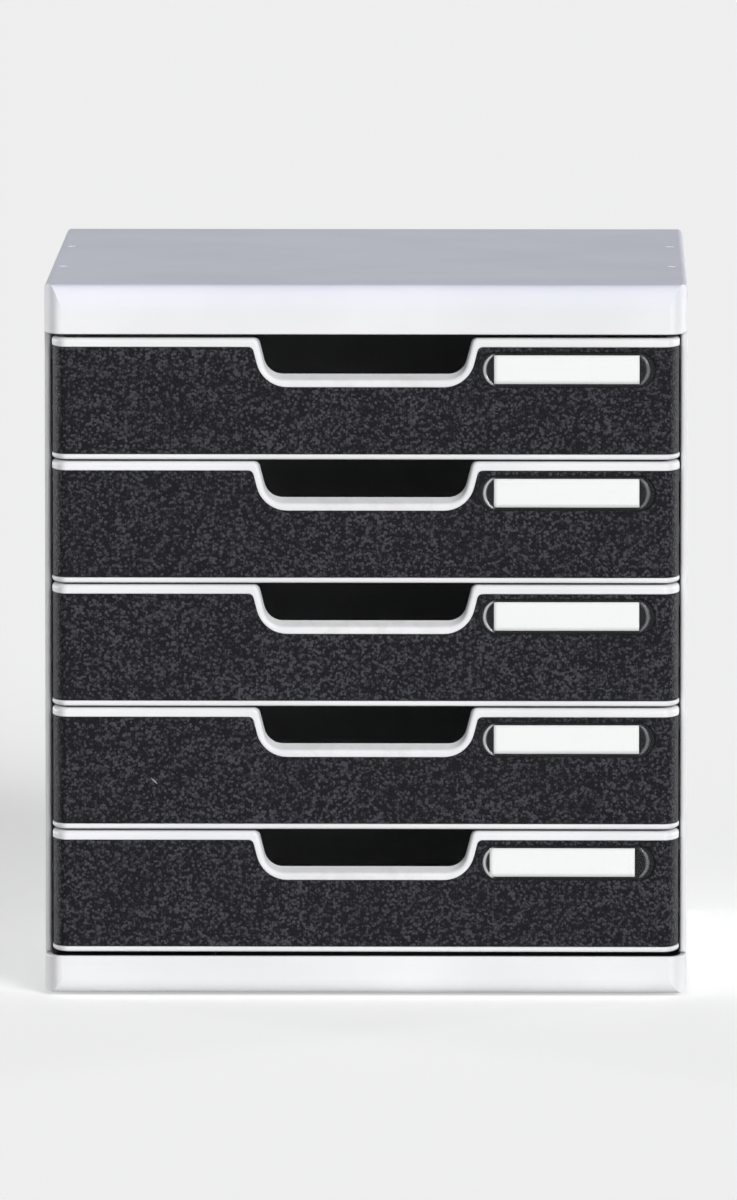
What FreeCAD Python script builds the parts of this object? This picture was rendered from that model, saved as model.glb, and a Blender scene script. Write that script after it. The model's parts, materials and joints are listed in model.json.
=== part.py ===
import FreeCAD, Part
import math
import os

# A desk-top unit of five A4 drawers in moulded plastic. Millimetres, +Z up, front towards -Y.
# The origin is on the surface that the unit stands on, under the middle of the unit.

Vector = FreeCAD.Vector

# Driving dimensions of the whole unit
WIDTH = 288.0
DEPTH = 340.0
HEIGHT = 320.0
DRAWER_COUNT = 5
FRONT_HEIGHT = 54.4
FRONT_GAP = 1.0
BASE_GAP = 2.0
COVER_GAP = 1.7
FOOT_SHOW = 1.5
BASE_HEIGHT = 16.7

# Lids: the top cover and the base are the same moulding at two heights
LID_CORNER = (8.0, 17.0)
LID_BACK_RADIUS = 3.0
LID_WALL = 2.4
LID_REAR_WALL = 1.6
LID_FLANK_RADIUS = 2.5
LID_BACK_EDGE_RADIUS = 2.0
LID_LOWER_ROUND = 0.6
COVER_ROLL = (4.5, 10.0)
BASE_ROLL = (5.0, 6.0)
LAP_WALL = 1.4
LAP_HEIGHT = 9.5
RIB_WALL = 1.6
RIB_HEIGHT = 6.0
CROSS_RIBS_Y = (-100.0, 0.0, 100.0)
LONG_RIBS_X = (-70.0, 70.0)
LONG_RIB_BACK_Y = 158.0
LINK_HOLE_RADIUS = 2.5
LINK_HOLE_X = 138.0
LINK_HOLE_Y = 60.0

# Side panels
PANEL_WALL = 3.0
PANEL_FRONT_Y = -153.4
PANEL_EDGE_RADIUS = 1.4
PANEL_SEAM = 0.4
TONGUE_WALL = 1.5
TONGUE_HEIGHT = 8.6
TONGUE_Y = (-148.0, 164.0)
CATCHES_Y = (-90.0, 10.0, 110.0)
CATCH_SIZE = (9.0, 1.2, 2.2)
SNAP_WINDOW = (10.0, 3.4)
CATCH_HEIGHT = 4.6
RETURN_REACH = 8.0
RETURN_WALL = 1.8
GROOVE_RIB_REACH = 4.0
GROOVE_RIB_WALL = 2.0

# Runner channels moulded inside the side panels, two for each drawer height
RUNNER_REACH = 6.5
RUNNER_WALL = 1.8
RUNNER_Y = (-149.0, 160.0)
RUNNER_LEAD = 3.0
RUNNERS_PER_DRAWER = 2
STOP_REACH = 2.2
STOP_Y = (-145.0, -139.0)

# Back panel and feet
BACK_WALL = 2.2
BACK_CLEARANCE = 0.2
FOOT_RADIUS = 8.0
FOOT_HEIGHT = 2.4
FOOT_CHAMFER = 0.5
FOOT_RECESS = 1.0
FOOT_CLEARANCE = 0.2
FOOT_X = 118.0
FEET_Y = {"front": -132.0, "rear": 138.0}

# Drawer front: a pale tray frame with a dark panel set into it
FRONT_HALF_WIDTH = 140.6
FRONT_SETBACK = 0.3
FRONT_CORNER = (7.0, 16.0)
FRAME_DEPTH = 5.4
RIM_ROUND = 1.8
LIP_ROUND = 1.1
INNER_ROUND = 0.5
RIM_HEIGHT = 4.0
LIP_HEIGHT = 2.3
PANEL_INSET = 0.6
PANEL_THICK = 2.6
PANEL_CLEARANCE = 0.1
PANEL_FLANK_TRIM = 0.3
PANEL_ROUND = 0.4

# Finger notch in the top edge of each drawer front
NOTCH_HALF_TOP = 48.5
NOTCH_DEPTH = 19.0
NOTCH_SLOPE = math.radians(14.5)
NOTCH_RADIUS = 8.5
NOTCH_TOP_RADIUS = 2.8
NOTCH_LIP = 3.0
NOTCH_LIP_RADIUS = 14.0
NOTCH_LIP_TOP_RADIUS = 2.5
NOTCH_CLIMB = 0.5

# Tray behind the front
TRAY_HALF_WIDTH = 133.5
TRAY_BACK_Y = 162.0
TRAY_WALL = 1.8
TRAY_TOP = 48.0
TRAY_FLOOR = 0.5
TRAY_BACK_RADIUS = 8.0
TRAY_FLOOR_RADIUS = 3.0
TRAY_UNDER_ROUND = 1.2
TRAY_TOP_ROUND = 0.5
FLANGE_REACH = 4.7
FLANGE_THICK = 2.4
FLANGE_FRONT_Y = -150.0
SLIDE_PLAY_BELOW = 0.3
SLIDE_PLAY_ABOVE = 0.4
TRAVEL = 220.0
STOP_TAB_REACH = 2.2
STOP_TAB_LENGTH = 8.0
STOP_TAB_PLAY = 0.3

# Snap tabs on the back of the dark panel
TABS_X = (-112.0, -56.0, 56.0, 112.0)
TAB_Z = 20.0
TAB_WIDTH = 8.0
TAB_THICK = 1.8
TAB_REACH = 3.6
BARB_RISE = 0.7
BARB_LENGTH = 1.1
TAB_PLAY = 0.2

# Label pocket, its paper card and its clear window
LABEL_X = 90.1
LABEL_DROP = 14.15
POCKET_LENGTH = 79.6
POCKET_HEIGHT = 15.8
POCKET_DEPTH = 1.5
POCKET_ROUND = 0.3
CARD_LENGTH = 65.0
CARD_HEIGHT = 12.8
CARD_THICK = 0.35
CARD_X = 90.0
LAST_CARD_X = 88.2
WINDOW_THICK = 0.85
WINDOW_PLAY = 0.2
WINDOW_SINK = 0.2
WINDOW_ROUND = 0.3
PEG_RADIUS = 0.9
PEG_OFFSET = 37.2
PEG_LENGTH = 1.05
PEG_PLAY = 0.1
SOCKET_DEPTH = 0.7
LAYER_GAP = 0.05

# Allowances for joining and cutting solids
MERGE = 0.5
PAST = 1.0
BEYOND = 20.0
TINY = 1e-6
NEAR = 1e-3
EDGE_STEPS = 4
FULL_ROUND = 0.999

# Worked out from the values above
HALF_WIDTH = WIDTH / 2
FRONT_Y = -DEPTH / 2
BACK_Y = DEPTH / 2
PITCH = FRONT_HEIGHT + FRONT_GAP
BASE_TOP = FOOT_SHOW + BASE_HEIGHT
COVER_BOTTOM = BASE_TOP + BASE_GAP + DRAWER_COUNT * PITCH - FRONT_GAP + COVER_GAP
COVER_HEIGHT = HEIGHT - COVER_BOTTOM
PANEL_INNER_X = HALF_WIDTH - PANEL_WALL
FRAME_FRONT_Y = FRONT_Y + FRONT_SETBACK
FRAME_BACK_Y = FRAME_FRONT_Y + FRAME_DEPTH
PANEL_FACE_Y = FRAME_FRONT_Y + PANEL_INSET
PANEL_REAR_Y = PANEL_FACE_Y + PANEL_THICK
BACK_PANEL_Y = BACK_Y - RETURN_WALL - BACK_CLEARANCE - BACK_WALL


def front_bottom(number):
    """Bottom of a drawer front. Drawer 1 is at the top."""
    return BASE_TOP + BASE_GAP + (DRAWER_COUNT - number) * PITCH


def block(x_span, y_span, z_span):
    """Box between three pairs of limits."""
    corner = Vector(x_span[0], y_span[0], z_span[0])
    return Part.makeBox(x_span[1] - x_span[0], y_span[1] - y_span[0], z_span[1] - z_span[0], corner)


def along_y(u, v):
    """A front view: u runs right, v runs up."""
    return Vector(u, 0, v)


def along_z(u, v):
    """A plan: u runs right, v runs back."""
    return Vector(u, v, 0)


def rounded_outline(points, radii, place):
    """Closed outline with each corner rounded to its own radius, 0 for a sharp one."""
    edges = []
    starts = []
    for index, (u, v) in enumerate(points):
        corner = Vector(u, v, 0)
        before = (Vector(*points[index - 1], 0) - corner).normalize()
        after = (Vector(*points[(index + 1) % len(points)], 0) - corner).normalize()
        half_angle = before.getAngle(after) / 2
        reach = radii[index] / math.tan(half_angle)
        middle = (before + after).normalize() * (radii[index] / math.sin(half_angle) - radii[index])
        starts.append((corner + before * reach, corner + middle, corner + after * reach))
    for index, (enter, middle, leave) in enumerate(starts):
        if radii[index] > 0:
            arc = [place(point.x, point.y) for point in (enter, middle, leave)]
            edges.append(Part.Arc(*arc).toShape())
        following = starts[(index + 1) % len(starts)][0]
        if (following - leave).Length > TINY:
            ends = [place(point.x, point.y) for point in (leave, following)]
            edges.append(Part.LineSegment(*ends).toShape())
    return Part.Wire(Part.__sortEdges__(edges))


def extruded(outline, start, run):
    """Solid made by carrying an outline from start along run."""
    solid = Part.Face(outline).extrude(run)
    solid.translate(start)
    return solid


def nose_prism(half_width, y_front, y_back, corner, z_span, back_radius=0.0):
    """Upright prism whose two front corners are quarter ellipses, corner = (run across, run back)."""
    across, back = corner
    edges = []
    for side in (-1, 1):
        centre = Vector(side * (half_width - across), y_front + back, 0)
        tip = centre + Vector(0, -back, 0)
        flank = centre + Vector(side * across, 0, 0)
        edges.append(Part.ArcOfEllipse(Part.Ellipse(tip, flank, centre), 0, math.pi / 2).toShape())
        rear = Vector(side * half_width, y_back - back_radius, 0)
        if rear.y - flank.y > TINY:
            edges.append(Part.LineSegment(flank, rear).toShape())
        if back_radius > 0:
            inset = back_radius * (1 - math.sqrt(0.5))
            middle = Vector(side * (half_width - inset), y_back - inset, 0)
            turned = Vector(side * (half_width - back_radius), y_back, 0)
            edges.append(Part.Arc(rear, middle, turned).toShape())
    for y, reach in ((y_front, across), (y_back, back_radius)):
        left = Vector(reach - half_width, y, 0)
        right = Vector(half_width - reach, y, 0)
        edges.append(Part.LineSegment(left, right).toShape())
    outline = Part.Wire(Part.__sortEdges__(edges))
    return extruded(outline, Vector(0, 0, z_span[0]), Vector(0, 0, z_span[1] - z_span[0]))


def shrunk(corner, amount):
    """The corner runs of an outline that lies amount further in."""
    return (corner[0] - amount, corner[1] - amount)


def joined(first, others):
    """One clean solid from a solid and those that overlap it."""
    return first.multiFuse(others).removeSplitter()


def softened(shape, radius, chosen):
    """The shape with each edge rounded whose points along it are chosen."""
    edges = []
    for edge in shape.Edges:
        first, last = edge.ParameterRange
        stride = (last - first) / EDGE_STEPS
        points = [edge.valueAt(first + stride * step) for step in range(EDGE_STEPS + 1)]
        if chosen(points):
            edges.append(edge)
    return shape.makeFillet(radius, edges)


def level(points, z):
    """Whether all points lie at one height."""
    return all(abs(point.z - z) < NEAR for point in points)


def beside_notch(points, z):
    """Whether points run from front to back at height z along a side of the finger notch."""
    runs_back = abs(points[0].y - points[-1].y) > PANEL_THICK / 2
    return runs_back and level(points, z) and abs(points[0].x) < NOTCH_HALF_TOP + 2 * NOTCH_LIP


def along_nose(points, half_width, y_front, corner):
    """Whether points run along the front of a nosed prism, and not straight up it."""
    across, back = corner
    spread = max(abs(point.x - points[0].x) + abs(point.y - points[0].y) for point in points)
    if spread < NEAR:
        return False
    for point in points:
        u = max(abs(point.x) - half_width + across, 0.0) / across
        v = (y_front + back - point.y) / back
        if abs(math.hypot(u, v) - 1) > NEAR:
            return False
    return True


def rolled_side(front, back, height, roll, back_edge):
    """Side view of a lid: a quarter ellipse at its front edge, roll = (run back, run down)."""
    run, drop = roll
    centre = Vector(0, front + run, height - drop)
    crown = centre + Vector(0, 0, drop)
    face = centre - Vector(0, run, 0)
    inset = back_edge * (1 - math.sqrt(0.5))
    rear = [Vector(0, back - back_edge, height), Vector(0, back - inset, height - inset),
            Vector(0, back, height - back_edge)]
    low = [Vector(0, back, -BEYOND), Vector(0, front, -BEYOND)]
    edges = [Part.ArcOfEllipse(Part.Ellipse(crown, face, centre), 0, math.pi / 2).toShape(),
             Part.LineSegment(crown, rear[0]).toShape(), Part.Arc(*rear).toShape(),
             Part.LineSegment(rear[2], low[0]).toShape(), Part.LineSegment(*low).toShape(),
             Part.LineSegment(low[1], face).toShape()]
    return Part.Wire(Part.__sortEdges__(edges))


def rolled_hull(inset, rear_inset, height, roll):
    """The lid's form set in by its wall: nosed plan, rolled front edge, rounded flanks."""
    half = HALF_WIDTH - inset
    front = FRONT_Y + inset
    back = BACK_Y - rear_inset
    flank = LID_FLANK_RADIUS - inset if LID_FLANK_RADIUS > inset else 0.0
    back_edge = LID_BACK_EDGE_RADIUS - rear_inset
    hull = nose_prism(half, front, back, shrunk(LID_CORNER, inset), (-BEYOND, height),
                      LID_BACK_RADIUS - rear_inset)
    side = rolled_side(front, back, height, shrunk(roll, inset), back_edge)
    face = rounded_outline([(-half, -BEYOND), (-half, height), (half, height), (half, -BEYOND)],
                           [0.0, flank, flank, 0.0], along_y)
    hull = hull.common(extruded(side, Vector(-WIDTH, 0, 0), Vector(2 * WIDTH, 0, 0)))
    return hull.common(extruded(face, Vector(0, -DEPTH, 0), Vector(0, 2 * DEPTH, 0)))


def lid(height, roll):
    """Shallow moulded lid: its open edge at z = 0 and its flat deck on top, at height."""
    deck_under = height - LID_WALL
    outside = rolled_hull(0.0, 0.0, height, roll)
    hollow = rolled_hull(LID_WALL, LID_REAR_WALL, deck_under, roll)
    everything = block((-WIDTH, WIDTH), (-DEPTH, DEPTH), (0, HEIGHT))
    outside = softened(outside.common(everything), LID_LOWER_ROUND, lambda points: level(points, 0.0))
    shell = outside.cut(hollow)
    inner_x = HALF_WIDTH - LID_WALL
    inner_front = FRONT_Y + LID_WALL
    additions = []
    for y in CROSS_RIBS_Y:
        additions.append(block((-inner_x - MERGE, inner_x + MERGE), (y - RIB_WALL / 2, y + RIB_WALL / 2),
                               (deck_under - RIB_HEIGHT, deck_under + MERGE)))
    for x in LONG_RIBS_X:
        additions.append(block((x - RIB_WALL / 2, x + RIB_WALL / 2), (inner_front - MERGE, LONG_RIB_BACK_Y),
                               (deck_under - RIB_HEIGHT, deck_under + MERGE)))
    shell = shell.multiFuse([rib.common(outside) for rib in additions])
    lap_y = (PANEL_FRONT_Y - PAST, BACK_Y - LID_REAR_WALL)
    lap_x = HALF_WIDTH - LAP_WALL
    catches = []
    for side in (-1, 1):
        lap = sorted((side * (inner_x - PAST), side * lap_x))
        shell = shell.cut(block(lap, lap_y, (-PAST, LAP_HEIGHT)))
        length, reach, rise = CATCH_SIZE
        hook = sorted((side * (lap_x - reach), side * (lap_x + MERGE)))
        for y in CATCHES_Y:
            catches.append(block(hook, (y - length / 2, y + length / 2),
                                 (CATCH_HEIGHT - rise / 2, CATCH_HEIGHT + rise / 2)))
    return joined(shell, catches)


def top_cover():
    """Lid over the drawers, with four round holes for the clips that link units side by side."""
    cover = lid(COVER_HEIGHT, COVER_ROLL)
    for x in (-LINK_HOLE_X, LINK_HOLE_X):
        for y in (-LINK_HOLE_Y, LINK_HOLE_Y):
            start = Vector(x, y, COVER_HEIGHT - 2 * LID_WALL)
            cover = cover.cut(Part.makeCylinder(LINK_HOLE_RADIUS, 4 * LID_WALL, start))
    cover.translate(Vector(0, 0, COVER_BOTTOM))
    return cover


def foot_places():
    """Name and centre of each foot."""
    places = {}
    for row, y in FEET_Y.items():
        for side, x in (("left", -FOOT_X), ("right", FOOT_X)):
            places[f"foot_{row}_{side}"] = Vector(x, y, 0)
    return places


def base():
    """The lid turned over, with a shallow recess for each foot."""
    plinth = lid(BASE_HEIGHT, BASE_ROLL)
    plinth.rotate(Vector(0, 0, 0), Vector(0, 1, 0), 180)
    plinth.translate(Vector(0, 0, BASE_TOP))
    for place in foot_places().values():
        radius = FOOT_RADIUS + FOOT_CLEARANCE
        plinth = plinth.cut(Part.makeCylinder(radius, FOOT_SHOW + FOOT_RECESS, place))
    return plinth


def foot(place):
    """Round rubber pad with a broken lower edge."""
    cone = Part.makeCone(FOOT_RADIUS - FOOT_CHAMFER, FOOT_RADIUS, FOOT_CHAMFER, place)
    drum = Part.makeCylinder(FOOT_RADIUS, FOOT_HEIGHT - FOOT_CHAMFER, place + Vector(0, 0, FOOT_CHAMFER))
    return joined(cone, [drum])


def runner(z_low):
    """Channel of two ribs that a tray flange slides in, with a stop block near its mouth."""
    inner = PANEL_INNER_X - RUNNER_REACH
    outer = PANEL_INNER_X + MERGE
    front, back = RUNNER_Y
    slot = FLANGE_THICK + SLIDE_PLAY_BELOW + SLIDE_PLAY_ABOVE
    plan = rounded_outline([(outer, front), (inner + RUNNER_LEAD, front), (inner, front + RUNNER_LEAD),
                            (inner, back), (outer, back)], [0.0] * 5, along_z)
    upper = z_low + RUNNER_WALL + slot
    ribs = [extruded(plan, Vector(0, 0, z), Vector(0, 0, RUNNER_WALL)) for z in (z_low, upper)]
    stop = block((PANEL_INNER_X - STOP_REACH, outer), STOP_Y, (z_low + MERGE, upper + MERGE))
    return ribs + [stop]


def right_side_panel():
    """Side wall with lap tongues, snap windows, runner channels and a groove for the back panel."""
    z_low = BASE_TOP + PANEL_SEAM
    z_high = COVER_BOTTOM - PANEL_SEAM
    plan = rounded_outline([(PANEL_INNER_X, PANEL_FRONT_Y), (HALF_WIDTH, PANEL_FRONT_Y),
                            (HALF_WIDTH, BACK_Y), (HALF_WIDTH - RETURN_REACH, BACK_Y),
                            (HALF_WIDTH - RETURN_REACH, BACK_Y - RETURN_WALL),
                            (PANEL_INNER_X, BACK_Y - RETURN_WALL)],
                           [PANEL_EDGE_RADIUS, PANEL_EDGE_RADIUS, LID_BACK_RADIUS / 2, 0.0, 0.0, 0.0],
                           along_z)
    wall = extruded(plan, Vector(0, 0, z_low), Vector(0, 0, z_high - z_low))
    groove_y = BACK_PANEL_Y - BACK_CLEARANCE
    additions = [block((PANEL_INNER_X - GROOVE_RIB_REACH, PANEL_INNER_X + MERGE),
                       (groove_y - GROOVE_RIB_WALL, groove_y), (z_low, z_high))]
    tongue_x = (PANEL_INNER_X, PANEL_INNER_X + TONGUE_WALL)
    additions.append(block(tongue_x, TONGUE_Y, (BASE_TOP - TONGUE_HEIGHT, COVER_BOTTOM + TONGUE_HEIGHT)))
    for number in range(1, DRAWER_COUNT + 1):
        for step in range(RUNNERS_PER_DRAWER):
            flange = front_bottom(number) + TRAY_TOP - FLANGE_THICK - step * PITCH / RUNNERS_PER_DRAWER
            additions.extend(runner(flange - SLIDE_PLAY_BELOW - RUNNER_WALL))
    panel = joined(wall, additions)
    width, rise = SNAP_WINDOW
    for z in (BASE_TOP - CATCH_HEIGHT, COVER_BOTTOM + CATCH_HEIGHT):
        for y in CATCHES_Y:
            panel = panel.cut(block((PANEL_INNER_X - PAST, tongue_x[1] + PAST),
                                    (y - width / 2, y + width / 2), (z - rise / 2, z + rise / 2)))
    return panel


def mirrored(shape):
    """The left-hand twin of a right-hand piece."""
    return shape.mirror(Vector(0, 0, 0), Vector(1, 0, 0))


def back_panel():
    """Flat sheet held in the grooves of the side panels and between the two lids."""
    half = PANEL_INNER_X - 2 * BACK_CLEARANCE
    z_low = FOOT_SHOW + LID_WALL + BACK_CLEARANCE
    z_high = HEIGHT - LID_WALL - BACK_CLEARANCE
    return block((-half, half), (BACK_PANEL_Y, BACK_PANEL_Y + BACK_WALL), (z_low, z_high))


def notch_space(grow, radius, y_span, z_rim, climb=0.0):
    """Space of the finger notch, open at its top: sloped sides, round lower corners, rising by climb."""
    high = z_rim + BEYOND
    low = z_rim - NOTCH_DEPTH - grow
    half_low = NOTCH_HALF_TOP + grow / math.cos(NOTCH_SLOPE) - (z_rim - low) * math.tan(NOTCH_SLOPE)
    half_high = half_low + (high - low) * math.tan(NOTCH_SLOPE)
    outline = rounded_outline([(-half_high, high), (-half_low, low), (half_low, low), (half_high, high)],
                              [0.0, radius, radius, 0.0], along_y)
    return extruded(outline, Vector(0, y_span[0], 0), Vector(0, y_span[1] - y_span[0], climb))


def front_band(inset, z_span):
    """Prism under the drawer front's plan, set in from the frame's face by inset."""
    return nose_prism(FRONT_HALF_WIDTH - inset, FRAME_FRONT_Y + inset, FRAME_FRONT_Y + FRONT_CORNER[1],
                      shrunk(FRONT_CORNER, inset), z_span)


def tray_front(z):
    """Frame that borders the dark panel: rim, lower lip, notch lip and the wall behind the panel."""
    top = z + FRONT_HEIGHT
    through_y = (FRONT_Y - BEYOND, FRONT_Y + BEYOND)
    frame = front_band(0.0, (z, top)).cut(front_band(FRAME_DEPTH, (z - PAST, top + PAST)))
    pocket_z = (z + LIP_HEIGHT, top - RIM_HEIGHT)
    pocket = block((-WIDTH, WIDTH), (FRONT_Y - PAST, FRAME_FRONT_Y + FRONT_CORNER[1] + PAST), pocket_z)
    pocket = pocket.cut(front_band(PANEL_INSET + PANEL_THICK + PANEL_CLEARANCE, (z - PAST, top + PAST)))
    pocket = pocket.cut(notch_space(NOTCH_LIP, NOTCH_LIP_RADIUS, through_y, top))
    pocket = softened(pocket, NOTCH_LIP_TOP_RADIUS, lambda points: beside_notch(points, pocket_z[1]))
    notch_y = (FRAME_FRONT_Y - PAST, FRAME_BACK_Y + PAST)
    opening = notch_space(0.0, NOTCH_RADIUS, notch_y, top - PAST * NOTCH_CLIMB,
                          (notch_y[1] - notch_y[0]) * NOTCH_CLIMB)
    frame = frame.cut(pocket).cut(opening)
    frame = softened(frame, NOTCH_TOP_RADIUS, lambda points: beside_notch(points, top))

    def on_face(points):
        return along_nose(points, FRONT_HALF_WIDTH, FRAME_FRONT_Y, FRONT_CORNER)

    def on_crown(points):
        beside = [opening.distToShape(Part.Vertex(point))[0] < NOTCH_TOP_RADIUS for point in points]
        return level(points, top) or all(beside)

    frame = softened(frame, INNER_ROUND,
                     lambda points: on_face(points) and not on_crown(points) and not level(points, z))
    frame = softened(frame, LIP_ROUND, lambda points: on_face(points) and level(points, z))
    return softened(frame, RIM_ROUND, lambda points: on_face(points) and on_crown(points))


def tab_slot(x, z):
    """Space in the tray's front wall for one snap tab of the dark panel."""
    half = TAB_WIDTH / 2 + TAB_PLAY
    rise = (z + TAB_Z - TAB_PLAY, z + TAB_Z + TAB_THICK + TAB_PLAY)
    return block((x - half, x + half), (FRONT_Y, FRAME_BACK_Y + PAST), rise)


def tray_well(inset, y_front, z_span):
    """Rounded well of the tray, set in from its outside by inset."""
    half = TRAY_HALF_WIDTH - inset
    back = TRAY_BACK_Y - inset
    radius = TRAY_BACK_RADIUS - inset
    plan = rounded_outline([(-half, y_front), (half, y_front), (half, back), (-half, back)],
                           [0.0, 0.0, radius, radius], along_z)
    return extruded(plan, Vector(0, 0, z_span[0]), Vector(0, 0, z_span[1] - z_span[0]))


def tray(number):
    """Open drawer in one moulding: front frame, floor, walls, slide flanges and stop tabs."""
    z = front_bottom(number)
    top = z + TRAY_TOP
    under = z + TRAY_FLOOR
    behind = FRAME_BACK_Y + NEAR
    well = tray_well(0.0, FRAME_BACK_Y - TRAY_WALL, (under, top))
    well = softened(well, TRAY_UNDER_ROUND,
                    lambda points: level(points, under) and points[EDGE_STEPS // 2].y > behind)
    hollow = tray_well(TRAY_WALL, FRAME_BACK_Y, (under + TRAY_WALL, top + BEYOND))
    hollow = softened(hollow, TRAY_FLOOR_RADIUS, lambda points: level(points, under + TRAY_WALL))
    finger_gap = notch_space(0.0, NOTCH_RADIUS, (FRONT_Y - BEYOND, FRONT_Y + BEYOND), z + FRONT_HEIGHT)
    walls = softened(well.cut(hollow).cut(finger_gap), TRAY_TOP_ROUND,
                     lambda points: level(points, top) and points[EDGE_STEPS // 2].y > behind)
    tab_front = STOP_Y[1] + TRAVEL + STOP_TAB_PLAY
    additions = [tray_front(z)]
    for side in (-1, 1):
        flange_x = sorted((side * (TRAY_HALF_WIDTH - MERGE), side * (TRAY_HALF_WIDTH + FLANGE_REACH)))
        flange_z = (top - FLANGE_THICK, top)
        flange_end = TRAY_BACK_Y - TRAY_BACK_RADIUS
        additions.append(block(flange_x, (FLANGE_FRONT_Y, flange_end), flange_z))
        tab_x = sorted((side * (TRAY_HALF_WIDTH + FLANGE_REACH - MERGE),
                        side * (TRAY_HALF_WIDTH + FLANGE_REACH + STOP_TAB_REACH)))
        additions.append(block(tab_x, (tab_front, tab_front + STOP_TAB_LENGTH), flange_z))
    return joined(walls, additions).cut([tab_slot(x, z) for x in TABS_X])


def pill(length, height, y_span, z_mid):
    """Upright plate with half-round ends, centred on the label's place."""
    half = length / 2
    rise = height / 2
    outline = rounded_outline([(LABEL_X - half, z_mid - rise), (LABEL_X + half, z_mid - rise),
                               (LABEL_X + half, z_mid + rise), (LABEL_X - half, z_mid + rise)],
                              [rise * FULL_ROUND] * 4, along_y)
    return extruded(outline, Vector(0, y_span[0], 0), Vector(0, y_span[1] - y_span[0], 0))


def label_height(number):
    """Height of the label's middle."""
    return front_bottom(number) + FRONT_HEIGHT - LABEL_DROP


def around_label(points, y, z_mid):
    """Whether points lie at one depth on the label pocket's outline or inside it."""
    return all(abs(point.y - y) < NEAR and abs(point.x - LABEL_X) < POCKET_LENGTH / 2 + NEAR
               and abs(point.z - z_mid) < POCKET_HEIGHT / 2 + NEAR for point in points)


def peg(offset, radius, y_start, length, z_mid):
    """Short pin behind one end of the label window."""
    return Part.makeCylinder(radius, length, Vector(LABEL_X + offset, y_start, z_mid), Vector(0, 1, 0))


def front_panel(number):
    """Dark panel clipped into the tray's frame, with the label pocket sunk in it."""
    z = front_bottom(number)
    top = z + FRONT_HEIGHT
    through_y = (FRONT_Y - BEYOND, FRONT_Y + BEYOND)
    z_span = (z + LIP_HEIGHT + PANEL_CLEARANCE, top - RIM_HEIGHT - PANEL_CLEARANCE)
    flank_end = FRAME_FRONT_Y + FRONT_CORNER[1] - PANEL_FLANK_TRIM
    corner = (FRONT_CORNER[0] - PANEL_FLANK_TRIM, flank_end - PANEL_FACE_Y)
    outer = nose_prism(FRONT_HALF_WIDTH - PANEL_FLANK_TRIM, PANEL_FACE_Y, flank_end, corner, z_span)
    panel = outer.cut(front_band(PANEL_INSET + PANEL_THICK, (z - PAST, top + PAST)))
    panel = panel.cut(notch_space(NOTCH_LIP + PANEL_CLEARANCE, NOTCH_LIP_RADIUS, through_y, top))
    panel = softened(panel, NOTCH_LIP_TOP_RADIUS, lambda points: beside_notch(points, z_span[1]))
    outline = (FRONT_HALF_WIDTH - PANEL_FLANK_TRIM, PANEL_FACE_Y, corner)
    panel = softened(panel, PANEL_ROUND, lambda points: along_nose(points, *outline))
    tabs = []
    for x in TABS_X:
        tab_x = (x - TAB_WIDTH / 2, x + TAB_WIDTH / 2)
        tip = PANEL_REAR_Y + TAB_REACH
        tabs.append(block(tab_x, (PANEL_REAR_Y - MERGE, tip), (z + TAB_Z, z + TAB_Z + TAB_THICK)))
        tabs.append(block(tab_x, (tip - BARB_LENGTH, tip), (z + TAB_Z, z + TAB_Z + TAB_THICK + BARB_RISE)))
    panel = joined(panel, tabs)
    z_mid = label_height(number)
    floor_y = PANEL_FACE_Y + POCKET_DEPTH
    panel = panel.cut(pill(POCKET_LENGTH, POCKET_HEIGHT, (FRONT_Y - PAST, floor_y), z_mid))
    panel = softened(panel, POCKET_ROUND, lambda points: around_label(points, PANEL_FACE_Y, z_mid))
    for offset in (-PEG_OFFSET, PEG_OFFSET):
        panel = panel.cut(peg(offset, PEG_RADIUS + PEG_PLAY, floor_y - MERGE, SOCKET_DEPTH + MERGE, z_mid))
    return panel


def label_card(number):
    """Paper slip on the floor of the label pocket."""
    middle = LAST_CARD_X if number == DRAWER_COUNT else CARD_X
    z_mid = label_height(number)
    rear = PANEL_FACE_Y + POCKET_DEPTH - LAYER_GAP
    return block((middle - CARD_LENGTH / 2, middle + CARD_LENGTH / 2), (rear - CARD_THICK, rear),
                 (z_mid - CARD_HEIGHT / 2, z_mid + CARD_HEIGHT / 2))


def label_window(number):
    """Clear cover over the card, held by a peg at each end."""
    z_mid = label_height(number)
    face = PANEL_FACE_Y + WINDOW_SINK
    rear = face + WINDOW_THICK
    plate = pill(POCKET_LENGTH - 2 * WINDOW_PLAY, POCKET_HEIGHT - 2 * WINDOW_PLAY, (face, rear), z_mid)
    plate = softened(plate, WINDOW_ROUND, lambda points: around_label(points, face, z_mid))
    pegs = [peg(offset, PEG_RADIUS, rear - MERGE, PEG_LENGTH + MERGE, z_mid)
            for offset in (-PEG_OFFSET, PEG_OFFSET)]
    return joined(plate, pegs)


def pieces():
    """Every piece of the unit by its name."""
    found = {
        "top_cover": top_cover(),
        "base": base(),
        "right_side_panel": right_side_panel(),
        "back_panel": back_panel(),
    }
    found["left_side_panel"] = mirrored(found["right_side_panel"])
    for name, place in foot_places().items():
        found[name] = foot(place)
    for number in range(1, DRAWER_COUNT + 1):
        found[f"drawer_{number}_tray"] = tray(number)
        found[f"drawer_{number}_front_panel"] = front_panel(number)
        found[f"drawer_{number}_label_card"] = label_card(number)
        found[f"drawer_{number}_label_window"] = label_window(number)
    return found


def main():
    os.makedirs("parts", exist_ok=True)
    for name, shape in sorted(pieces().items()):
        shape.exportStep(f"parts/{name}.step")
        print(f"{name}: {len(shape.Solids)} solid, {shape.Volume / 1000:.1f} cm3, valid {shape.isValid()}")


main()
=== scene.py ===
import json
import math

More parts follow.
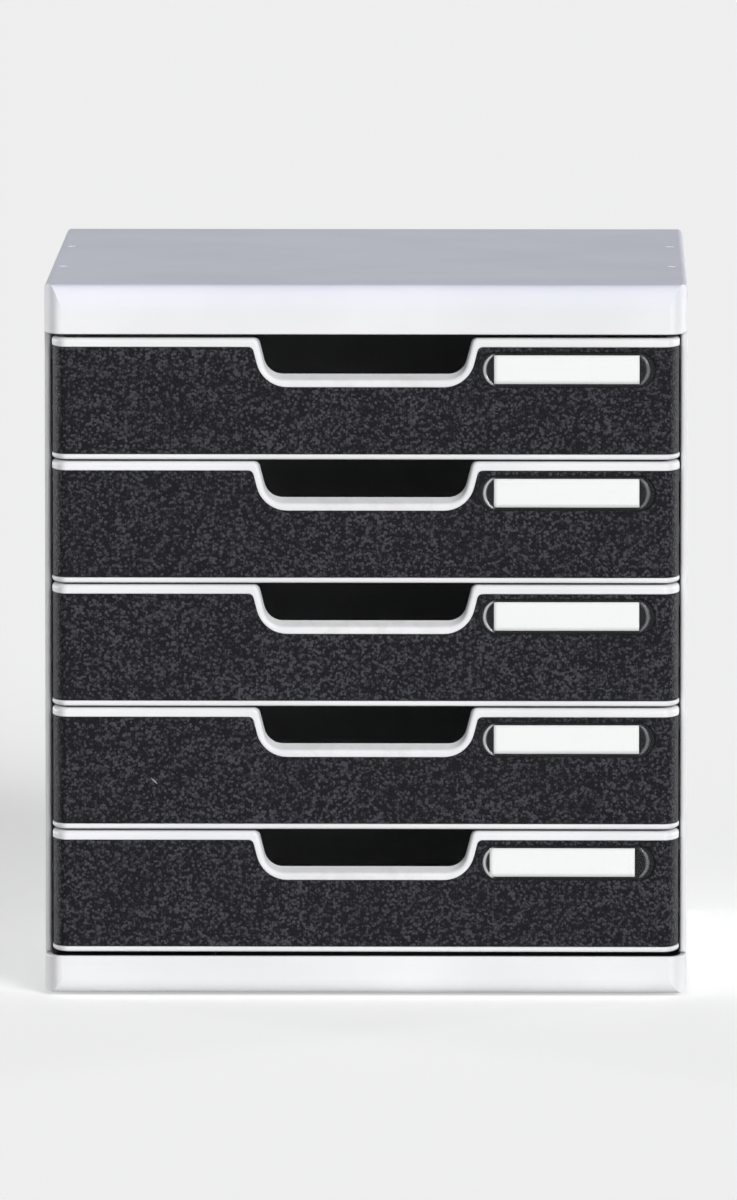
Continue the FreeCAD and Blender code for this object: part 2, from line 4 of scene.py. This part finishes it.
import bpy
import numpy as np
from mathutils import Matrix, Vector


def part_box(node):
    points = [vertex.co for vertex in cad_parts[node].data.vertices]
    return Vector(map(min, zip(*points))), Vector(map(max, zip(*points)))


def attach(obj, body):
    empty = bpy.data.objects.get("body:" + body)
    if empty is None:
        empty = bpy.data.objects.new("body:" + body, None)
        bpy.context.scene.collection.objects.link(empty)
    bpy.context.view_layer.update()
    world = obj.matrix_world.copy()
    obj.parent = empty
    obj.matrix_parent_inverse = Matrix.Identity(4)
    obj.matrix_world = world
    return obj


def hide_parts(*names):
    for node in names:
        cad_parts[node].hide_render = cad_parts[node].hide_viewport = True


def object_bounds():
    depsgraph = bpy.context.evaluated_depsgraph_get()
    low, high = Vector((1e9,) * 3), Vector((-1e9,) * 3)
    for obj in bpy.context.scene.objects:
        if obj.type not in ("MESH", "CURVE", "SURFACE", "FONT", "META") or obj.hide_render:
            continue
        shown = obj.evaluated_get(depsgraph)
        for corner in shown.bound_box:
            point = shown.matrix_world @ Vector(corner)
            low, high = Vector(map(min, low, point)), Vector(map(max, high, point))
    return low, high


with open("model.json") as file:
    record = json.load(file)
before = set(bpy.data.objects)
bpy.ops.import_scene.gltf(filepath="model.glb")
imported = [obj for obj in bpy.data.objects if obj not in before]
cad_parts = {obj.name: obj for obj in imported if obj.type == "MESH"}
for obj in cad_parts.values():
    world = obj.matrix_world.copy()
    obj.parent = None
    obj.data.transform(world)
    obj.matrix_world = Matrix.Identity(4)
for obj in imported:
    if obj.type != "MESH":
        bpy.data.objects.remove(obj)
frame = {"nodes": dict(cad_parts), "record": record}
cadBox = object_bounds()
nodes = frame["nodes"]
mm = 0.001
drawers = range(1, 6)  # 1 is the top drawer
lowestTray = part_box("drawer_5_tray")[0].z
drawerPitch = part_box("drawer_4_tray")[0].z - lowestTray
noiseMean = 0.5  # noises and random cell tones lie about this value
print("frame loaded,", len(nodes), "nodes")


class Wire:  # one shader socket; sums, differences and products of wires become Math nodes
    def __init__(self, tree, socket=None):
        self.tree = tree
        self.socket = socket

    def node(self, kind, settings=None, inputs=None, out=0):  # settings first, then values or links
        # out names one output, or several as a tuple
        made = self.tree.nodes.new("ShaderNode" + kind)
        for key, value in (settings or {}).items():
            setattr(made, key, value)
        for key, value in (inputs or {}).items():
            if isinstance(value, Wire):
                self.tree.links.new(value.socket, made.inputs[key])
            else:
                made.inputs[key].default_value = value
        if isinstance(out, tuple):
            return [Wire(self.tree, made.outputs[key]) for key in out]
        return Wire(self.tree, made.outputs[out] if made.outputs else None)

    def maths(self, operation, first, second=0.0):
        return self.node("Math", {"operation": operation}, {0: first, 1: second})

    def __add__(self, other):
        return self.maths("ADD", self, other)

    def __radd__(self, other):
        return self.maths("ADD", other, self)

    def __sub__(self, other):
        return self.maths("SUBTRACT", self, other)

    def __rsub__(self, other):
        return self.maths("SUBTRACT", other, self)

    def __mul__(self, other):
        return self.maths("MULTIPLY", self, other)

    def __rmul__(self, other):
        return self.maths("MULTIPLY", other, self)

    def noise(self, size, detail, rough=0.5):  # self is a position; size is in metres
        return self.node("TexNoise", {}, {"Vector": self, "Scale": 1 / size, "Detail": detail,
                                          "Roughness": rough})

    def along(self, axis):  # X, Y or Z of a position
        return self.node("SeparateXYZ", {}, {0: self}, axis)

    def rise(self, start, end):  # 0 up to start, 1 from end, smooth between; start may be the larger
        return self.node("MapRange", {"interpolation_type": "SMOOTHSTEP"}, {0: self, 1: start, 2: end})

    def blendColours(self, low, high):  # self runs from low at 0 to high at 1
        pair = [colour if isinstance(colour, Wire) else (*colour, 1) for colour in (low, high)]
        return self.node("Mix", {"data_type": "RGBA"}, {0: self, 6: pair[0], 7: pair[1]}, 2)

    def bump(self, depth, under=None):  # self is a height between 0 and 1
        inputs = {"Height": self, "Strength": 1.0, "Distance": depth}
        if under:
            inputs["Normal"] = under
        return self.node("Bump", {}, inputs)


def emptyTree(owner):  # the cleared node tree of a material or a world
    owner.use_nodes = True
    owner.node_tree.nodes.clear()
    return Wire(owner.node_tree)


def newSurface(name):  # an empty material and the position on the piece
    made = bpy.data.materials.new(name)
    return made, emptyTree(made).node("TexCoord", out="Object")


def plastic(place, fixed, **varying):  # one Principled shader into the output
    shader = place.node("BsdfPrincipled", {}, {**fixed, **varying})
    place.node("OutputMaterial", {}, {"Surface": shader})


# in the finishes below, a noise is its size, detail and roughness, and a rise is its two limits

# where fingers reach into a notch: an oval round its lower edge, the same in each drawer
fingerMarks = {
    "height": 35.5 * mm, "reachX": 46 * mm, "reachZ": 9 * mm, "ovalRise": (1.0, 0.1),
    "print": (7 * mm, 4.0, 0.65), "printRise": (0.4, 0.7),
}


def handled(place, shape):  # 1 in the middle of the oval, 0 from its edge on, broken up into prints
    local = place.maths("FLOORED_MODULO", place.along("Z") - lowestTray, drawerPitch)
    across = place.along("X") * (1 / shape["reachX"])
    up = (local - shape["height"]) * (1 / shape["reachZ"])
    oval = (across * across + up * up).rise(*shape["ovalRise"])
    return oval * place.noise(*shape["print"]).rise(*shape["printRise"])


# pale grey moulding: lids, sides and trays
paleMoulding = {
    # painted sky light: the first two colours and the two values after them paint bluish light from above
    # onto the top of the lid
    "skyLitLow": (0.668, 0.689, 0.795), "skyLitHigh": (0.732, 0.753, 0.858),
    "skyLitRise": (302 * mm, 320 * mm), "skyLitUpright": 0.5,
    "plainLow": (0.708, 0.711, 0.724), "plainHigh": (0.770, 0.772, 0.784),
    "grime": (0.56, 0.55, 0.53), "trayGrime": 0.35,
    "cloud": (90 * mm, 4.0), "cloudRise": (0.3, 0.7),
    "satin": (0.5 * mm, 1.0), "satinDepth": 0.012 * mm, "wave": (45 * mm, 0.0), "waveDepth": 0.05 * mm,
    "gloss": {"IOR": 1.5, "Specular IOR Level": 0.32}, "roughness": 0.50, "roughnessSpread": 0.12,
    "scratchLength": 55 * mm, "scratchWidth": 0.45 * mm, "scratchTurns": (17, -38),
    "scratchRise": (0.70, 0.80), "scratchPatch": (110 * mm, 1.0), "scratchPatchRise": (0.45, 0.62),
    "scratchLight": 0.55, "scratchRough": 0.12,
}


def scratches(place, shape):  # noise drawn out to thin streaks in two directions, in patches
    total = 0.0
    run, width = shape["scratchLength"], shape["scratchWidth"]
    for turn in shape["scratchTurns"]:
        drawn = place.node("Mapping", {}, {"Vector": place, "Rotation": (0, 0, math.radians(turn)),
                                           "Scale": (1 / run, 1 / width, 1 / width)})
        total = total + drawn.noise(1.0, 0.0).rise(*shape["scratchRise"])  # drawn is scaled already
    return total * place.noise(*shape["scratchPatch"]).rise(*shape["scratchPatchRise"])


def paleSurface(name, shape, grimeLevel=0.0):
    made, place = newSurface(name)
    facing = place.node("TexCoord", out="Normal").along("Z")  # 1 on the deck, 0 on upright faces
    facing = shape["skyLitUpright"] + facing * (1 - shape["skyLitUpright"])
    paintedSkyTint = place.along("Z").rise(*shape["skyLitRise"]) * facing  # painted sky light: bluer towards the deck, most on up-facing faces
    low = paintedSkyTint.blendColours(shape["plainLow"], shape["skyLitLow"])
    high = paintedSkyTint.blendColours(shape["plainHigh"], shape["skyLitHigh"])
    satin = place.noise(*shape["satin"])
    streaks = scratches(place, shape)
    tone = place.noise(*shape["cloud"]).rise(*shape["cloudRise"]) + streaks * shape["scratchLight"]
    colour = tone.blendColours(low, high)
    if grimeLevel:
        colour = (handled(place, fingerMarks) * grimeLevel).blendColours(colour, shape["grime"])
    fine = satin.bump(shape["satinDepth"])
    rough = shape["roughness"] + (satin - noiseMean) * shape["roughnessSpread"]
    plastic(place, shape["gloss"],
            **{"Base Color": colour, "Roughness": rough + streaks * shape["scratchRough"],
               "Normal": place.noise(*shape["wave"]).bump(shape["waveDepth"], fine)})
    return made


# dark drawer fronts: domed pebble grain with paler specks, smooth black in the label pocket
darkGrain = {
    "low": (0.0092, 0.0092, 0.0108), "high": (0.057, 0.0565, 0.0665), "pocket": (0.004, 0.004, 0.0045),
    "pebble": 1.15 * mm, "pebbleMelt": 0.3, "pebbleDepth": 0.24 * mm, "speckHeight": 0.4,
    "speck": (0.7 * mm, 1.0), "mottle": (1.8 * mm, 3.0, 0.65), "patch": (40 * mm, 2.0),
    "pebbleTone": 0.5, "mottleTone": 0.2, "speckTone": 0.7, "patchTone": 0.2, "chanceTone": 0.7,
    "toneRise": (0.55, 1.55),
    "gloss": {"IOR": 1.45, "Specular IOR Level": 0.08},
    "roughness": 0.60, "roughnessSpread": 0.2, "oil": 0.16,
    "pocketDepthRise": (-168.9 * mm, -168.6 * mm), "pocketEndRise": (132 * mm, 131 * mm),
    "scuffTone": (0.30, 0.30, 0.31), "scuffX": -94.6 * mm, "scuffZ": 97.1 * mm, "scuffTurn": -42,
    "scuffLength": 4.6 * mm, "scuffWidth": 0.8 * mm, "scuffRise": (1.0, 0.2),
}


def scuffMark(place, shape):  # one short light rub on the fourth front, an oval in the plane of the front
    turn = math.radians(shape["scuffTurn"])
    x = place.along("X") - shape["scuffX"]
    z = place.along("Z") - shape["scuffZ"]
    run = (x * math.cos(turn) + z * math.sin(turn)) * (2 / shape["scuffLength"])
    side = (z * math.cos(turn) - x * math.sin(turn)) * (2 / shape["scuffWidth"])
    return (run * run + side * side).rise(*shape["scuffRise"])


def darkSurface(name, shape):
    made, place = newSurface(name)
    hollow, chance = place.node("TexVoronoi", {"feature": "SMOOTH_F1"},
                                {"Vector": place, "Scale": 1 / shape["pebble"],
                                 "Smoothness": shape["pebbleMelt"]}, ("Distance", "Color"))
    pebble = 1 - hollow
    speck = place.noise(*shape["speck"])
    mottle = place.noise(*shape["mottle"])
    patch = place.noise(*shape["patch"])
    tone = pebble * shape["pebbleTone"] + mottle * shape["mottleTone"]
    tone = tone + speck * shape["speckTone"] + patch * shape["patchTone"]
    own = (chance.along("X") - noiseMean) * (shape["chanceTone"] + patch)  # each pebble lighter or darker
    pocket = place.along("Y").rise(*shape["pocketDepthRise"])
    inner = place.maths("ABSOLUTE", place.along("X")).rise(*shape["pocketEndRise"])
    pocket = pocket * inner
    colour = (tone + own).rise(*shape["toneRise"]).blendColours(shape["low"], shape["high"])
    colour = scuffMark(place, shape).blendColours(colour, shape["scuffTone"])
    rough = shape["roughness"] + (mottle - noiseMean) * shape["roughnessSpread"]
    height = (pebble + speck * shape["speckHeight"]) * (1 - pocket)
    plastic(place, shape["gloss"],
            **{"Base Color": pocket.blendColours(colour, shape["pocket"]),
               "Roughness": rough - handled(place, fingerMarks) * shape["oil"],
               "Normal": height.bump(shape["pebbleDepth"])})
    return made


# white label card
cardPaper = {
    "low": (0.85, 0.86, 0.86), "high": (0.89, 0.895, 0.89),
    "fibre": (0.7 * mm, 3.0, 0.6), "fibreRise": (0.3, 0.7), "fibreDepth": 0.01 * mm,
    "gloss": {"Roughness": 0.85, "Specular IOR Level": 0.25},
}


def paperSurface(name, shape):
    made, place = newSurface(name)
    fibre = place.noise(*shape["fibre"])
    plastic(place, shape["gloss"],
            **{"Base Color": fibre.rise(*shape["fibreRise"]).blendColours(shape["low"], shape["high"]),
               "Normal": fibre.bump(shape["fibreDepth"])})
    return made


# black rubber pads
padRubber = {
    "low": (0.018, 0.018, 0.018), "high": (0.035, 0.035, 0.034),
    "grain": (0.8 * mm, 3.0, 0.6), "grainRise": (0.3, 0.7), "grainDepth": 0.05 * mm,
    "gloss": {"Specular IOR Level": 0.3}, "roughness": 0.7, "roughnessSpread": 0.2,
}


def rubberSurface(name, shape):
    made, place = newSurface(name)
    grain = place.noise(*shape["grain"])
    plastic(place, shape["gloss"],
            **{"Base Color": grain.rise(*shape["grainRise"]).blendColours(shape["low"], shape["high"]),
               "Roughness": shape["roughness"] + (grain - noiseMean) * shape["roughnessSpread"],
               "Normal": grain.bump(shape["grainDepth"])})
    return made


# clear label window: see-through pane, denser at its thicker moulded ends, where its whiteness is partly a
# painted highlight
clearPane = {
    "pane": 0.03, "end": 0.92, "low": (0.25, 0.26, 0.27), "high": (0.84, 0.85, 0.87),
    "gloss": {"Roughness": 0.12, "IOR": 1.49},
}


def clearSurface(name, shape):
    made, place = newSurface(name)
    # this attribute is the thicker moulded ends plus a painted highlight on them
    denseAndHighlight = place.node("Attribute", {"attribute_name": "denseAndHighlight"}, out="Fac")
    plastic(place, shape["gloss"],
            **{"Base Color": denseAndHighlight.blendColours(shape["low"], shape["high"]),
               "Alpha": shape["pane"] + denseAndHighlight * (shape["end"] - shape["pane"])})
    return made


paleHousing = paleSurface("paleHousing", paleMoulding)
paleTray = paleSurface("paleTray", paleMoulding, paleMoulding["trayGrime"])
darkFront = darkSurface("darkFront", darkGrain)
whiteCard = paperSurface("whiteCard", cardPaper)
blackPad = rubberSurface("blackPad", padRubber)
clearWindow = clearSurface("clearWindow", clearPane)
finishOf = {"grey_plastic": paleHousing, "black_plastic": darkFront, "foot_rubber": blackPad,
            "label_paper": whiteCard, "clear_plastic": clearWindow}
for part in frame["record"]["subparts"]:
    finish = paleTray if part["node"].endswith("_tray") else finishOf[part["material_slot"]]
    for slot in nodes[part["node"]].material_slots:
        slot.material = finish
print("finishes set on", len(nodes), "nodes")


def newObject(name, data):
    made = bpy.data.objects.new(name, data)
    bpy.context.scene.collection.objects.link(made)
    return made


sharpFrom = 40  # degrees between faces


def addPiece(name, points, faces, body, node, finish):
    mesh = bpy.data.meshes.new(name)
    mesh.from_pydata(points, [], faces)
    mesh.materials.append(finish)
    mesh.polygons.foreach_set("use_smooth", np.ones(len(mesh.polygons), bool))
    mesh.set_sharp_from_angle(angle=math.radians(sharpFrom))
    piece = newObject(name, mesh)
    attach(piece, body)
    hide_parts(node)
    return piece


def ringFaces(rings, around, start=0):  # quads between closed rings, first and last ring capped
    ring, step = np.meshgrid(np.arange(rings - 1), np.arange(around), indexing="ij")
    ahead = (step + 1) % around
    quads = np.stack([ring * around + step, ring * around + ahead,
                      (ring + 1) * around + ahead, (ring + 1) * around + step], -1).reshape(-1, 4) + start
    caps = [np.arange(around)[::-1] + start, np.arange(around) + start + (rings - 1) * around]
    return quads.tolist() + [cap.tolist() for cap in caps]


# label windows: a pill outline drawn in step by step, lifted by a rounded edge and a crescent at each end
labelWindow = {
    "length": 79.2 * mm, "height": 15.4 * mm, "thick": 0.85 * mm, "round": 0.3 * mm, "roundSteps": 5,
    "beadLift": 0.25 * mm, "endSteps": 48, "reach": 5.4 * mm, "rings": 19,
    # the crescents' density carries a painted highlight, stronger on the left end (-1) as if lit from the
    # right
    "beads": {-1: {"start": 1.8 * mm, "width": 2.0 * mm, "denseAndHighlight": 0.72},
              1: {"start": 2.2 * mm, "width": 2.2 * mm, "denseAndHighlight": 0.33}},
    "taper": 4.0,
    "pegRadius": 0.9 * mm, "pegOffset": 37.2 * mm, "pegLength": 1.0 * mm, "pegSteps": 24,
    "pegReaches": (1.0, 1.0, 0.8), "pegWidths": (0.4, 0.75, 1.0, 1.0),  # shares, from the tip to the root
}


# around: two half circles of radius halfHeight - inset, moved apart to the pill's length
# inwards: a quarter-round edge, then level rings that rise by beadLift times the square of the crest
def windowShape(box, shape):
    low, high = box
    centre = np.array([(low.x + high.x) / 2, low.y, (low.z + high.z) / 2])
    turn = np.linspace(-math.pi / 2, math.pi / 2, shape["endSteps"])
    turn = np.concatenate([turn, turn + math.pi])
    side = np.where(np.arange(turn.size) < shape["endSteps"], 1.0, -1.0)
    bend = np.linspace(0, math.pi / 2, shape["roundSteps"])
    flat = np.linspace(shape["round"], shape["reach"], shape["rings"])[1:]
    inset = np.concatenate([[0.0], shape["round"] * (1 - np.cos(bend)), flat])
    sink = np.concatenate([[shape["thick"]], shape["round"] * (1 - np.sin(bend)), np.zeros(flat.size)])
    halfHeight = shape["height"] / 2
    radius = halfHeight - inset[:, None]
    run = (shape["length"] - shape["height"]) / 2
    x = side * run + radius * np.cos(turn)
    z = radius * np.sin(turn)
    crest = np.zeros(z.shape)
    denseAndHighlight = np.zeros(z.shape)
    # how far each point lies in from the outline, measured level
    fromEnd = np.sqrt(np.maximum(halfHeight ** 2 - z ** 2, 0)) - radius * abs(np.cos(turn))
    taper = np.minimum(1, shape["taper"] * abs(np.cos(turn)))
    for end, bead in shape["beads"].items():  # half a sine wave across each crescent
        hill = np.clip((fromEnd - bead["start"]) / bead["width"], 0, 1)
        profile = np.sin(math.pi * hill) * np.where(side == end, taper, 0)
        crest += profile
        denseAndHighlight += profile * bead["denseAndHighlight"]
    y = sink[:, None] - shape["beadLift"] * crest ** 2
    points = np.stack([x, y, z], -1).reshape(-1, 3) + centre
    denseAndHighlight = denseAndHighlight.ravel()
    faces = ringFaces(inset.size, turn.size)
    spin = np.linspace(0, 2 * math.pi, shape["pegSteps"], endpoint=False)
    reach = np.append(shape["pegLength"] * np.array(shape["pegReaches"]), -shape["round"])
    width = shape["pegRadius"] * np.array(shape["pegWidths"])
    for offset in (-shape["pegOffset"], shape["pegOffset"]):
        peg = np.stack([offset + width[:, None] * np.cos(spin), (shape["thick"] + reach)[:, None] + 0 * spin,
                        width[:, None] * np.sin(spin)], -1).reshape(-1, 3) + centre
        faces += ringFaces(reach.size, spin.size, len(points))
        points = np.concatenate([points, peg])
        denseAndHighlight = np.concatenate([denseAndHighlight, np.zeros(len(peg))])
    return points, faces, denseAndHighlight


for number in drawers:
    node = f"drawer_{number}_label_window"
    points, faces, denseAndHighlight = windowShape(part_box(node), labelWindow)
    window = addPiece(f"drawer_{number}_clear_window", points, faces, f"drawer_{number}", node,
                      clearWindow)
    window.data.attributes.new("denseAndHighlight", "FLOAT", "POINT").data.foreach_set("value", denseAndHighlight.astype(np.float32))
print("label windows made")

# label cards: a sheet bowed a little along its length, given its thickness by Solidify
labelCard = {"across": 40, "up": 8, "thick": 0.2 * mm, "bow": 0.07 * mm, "waves": 1.5, "shift": 0.3}


# a level grid of u along the card and v up it, bowed by the square of a sine along u
def cardShape(box, shape, number):
    low, high = box
    u, v = np.meshgrid(np.linspace(0, 1, shape["across"]), np.linspace(0, 1, shape["up"]), indexing="ij")
    x = low.x + u * (high.x - low.x)
    z = low.z + v * (high.z - low.z)
    bow = np.sin(math.pi * (u * shape["waves"] + shape["shift"] * number)) ** 2
    y = high.y - shape["thick"] - shape["bow"] * bow
    index = np.arange(u.size).reshape(u.shape)
    faces = np.stack([index[:-1, :-1], index[1:, :-1], index[1:, 1:], index[:-1, 1:]], -1).reshape(-1, 4)
    return np.stack([x, y, z], -1).reshape(-1, 3), faces.tolist()


for number in drawers:
    node = f"drawer_{number}_label_card"
    points, faces = cardShape(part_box(node), labelCard, number)
    card = addPiece(f"drawer_{number}_paper_card", points, faces, f"drawer_{number}", node,
                    whiteCard)
    solid = card.modifiers.new("thickness", "SOLIDIFY")
    solid.thickness = labelCard["thick"]
    solid.offset = -1
print("label cards made")

# floor, world and lamps
studio = {
    "floorSize": 60.0, "floorDrop": 0.1 * mm, "floorTone": 0.80, "floorLift": 0.46,
    "skyTone": (0.97, 0.98, 1.0, 1), "backdrop": 0.80, "ambient": 0.11, "lampDistance": 2.0,
}
lamps = {  # level is how bright a white card that faces the lamp gets from it, spread its width in degrees
    "key": {"azimuth": 27, "elevation": 18, "spread": 26, "level": 0.90},
    "fill": {"azimuth": -38, "elevation": 12, "spread": 40, "level": 0.22},
    "backRight": {"azimuth": 135, "elevation": 4, "spread": 12, "level": 0.45},
    "backLeft": {"azimuth": -135, "elevation": 4, "spread": 12, "level": 0.45},
}


def aimed(azimuth, elevation, distance, target):  # a place round the unit, 0 is in front and 90 to its right
    turn, rise = math.radians(azimuth), math.radians(elevation)
    back = Vector((math.sin(turn) * math.cos(rise), -math.cos(turn) * math.cos(rise), math.sin(rise)))
    return target + back * distance, (-back).to_track_quat("-Z", "Y").to_euler()


unitCentre = (cadBox[0] + cadBox[1]) / 2
for name, lamp in lamps.items():
    light = bpy.data.lights.new(name, "SUN")
    light.angle = math.radians(lamp["spread"])
    light.energy = lamp["level"] * math.pi
    holder = newObject(name, light)
    lampPose = aimed(lamp["azimuth"], lamp["elevation"], studio["lampDistance"], unitCentre)
    holder.location, holder.rotation_euler = lampPose

half = studio["floorSize"] / 2
floorMesh = bpy.data.meshes.new("floor")
floorMesh.from_pydata([(-half, -half, 0), (half, -half, 0), (half, half, 0), (-half, half, 0)], [],
                      [(0, 1, 2, 3)])
floor = newObject("floor", floorMesh)
floor.location.z = -studio["floorDrop"]
floorPaint = bpy.data.materials.new("floorPaint")
floorMesh.materials.append(floorPaint)
tree = emptyTree(floorPaint)
seen = tree.node("LightPath", out="Is Camera Ray")
matt = tree.node("BsdfDiffuse", {}, {"Color": (studio["floorTone"],) * 3 + (1,)})
lift = tree.node("Emission", {}, {"Color": (1, 1, 1, 1), "Strength": seen * studio["floorLift"]})
tree.node("OutputMaterial", {}, {"Surface": tree.node("AddShader", {}, {0: matt, 1: lift})})

sky = bpy.data.worlds.new("studioSky")
bpy.context.scene.world = sky
tree = emptyTree(sky)
rays = tree.node("LightPath", out=("Is Camera Ray", "Is Glossy Ray", "Is Transmission Ray"))
seen = tree.maths("MINIMUM", rays[0] + rays[1] + rays[2], 1.0)
strength = studio["ambient"] + seen * (studio["backdrop"] - studio["ambient"])
glow = tree.node("Background", {}, {"Color": studio["skyTone"], "Strength": strength})
tree.node("OutputWorld", {}, {"Surface": glow})
print("studio lit")

# camera: far off and a little above, as in the photo
view = {
    "azimuth": 0.73, "elevation": 5.6, "distance": 7.2, "aim": (0.0, -0.06, 0.168),
    "fill": 0.86, "pictureWidth": 737, "pictureHeight": 1200,
}
camera = bpy.data.cameras.new("camera")
cameraHolder = newObject("camera", camera)
cameraPose = aimed(view["azimuth"], view["elevation"], view["distance"], Vector(view["aim"]))
cameraHolder.location, cameraHolder.rotation_euler = cameraPose
unitWidth = cadBox[1].x - cadBox[0].x
# the long side of the picture sets the lens
frameHeight = unitWidth / view["fill"] * view["pictureHeight"] / view["pictureWidth"]
camera.lens = camera.sensor_width * view["distance"] / frameHeight
bpy.context.scene.camera = cameraHolder
bpy.context.scene.view_settings.view_transform = "Standard"
print("camera set, lens", round(camera.lens, 1))
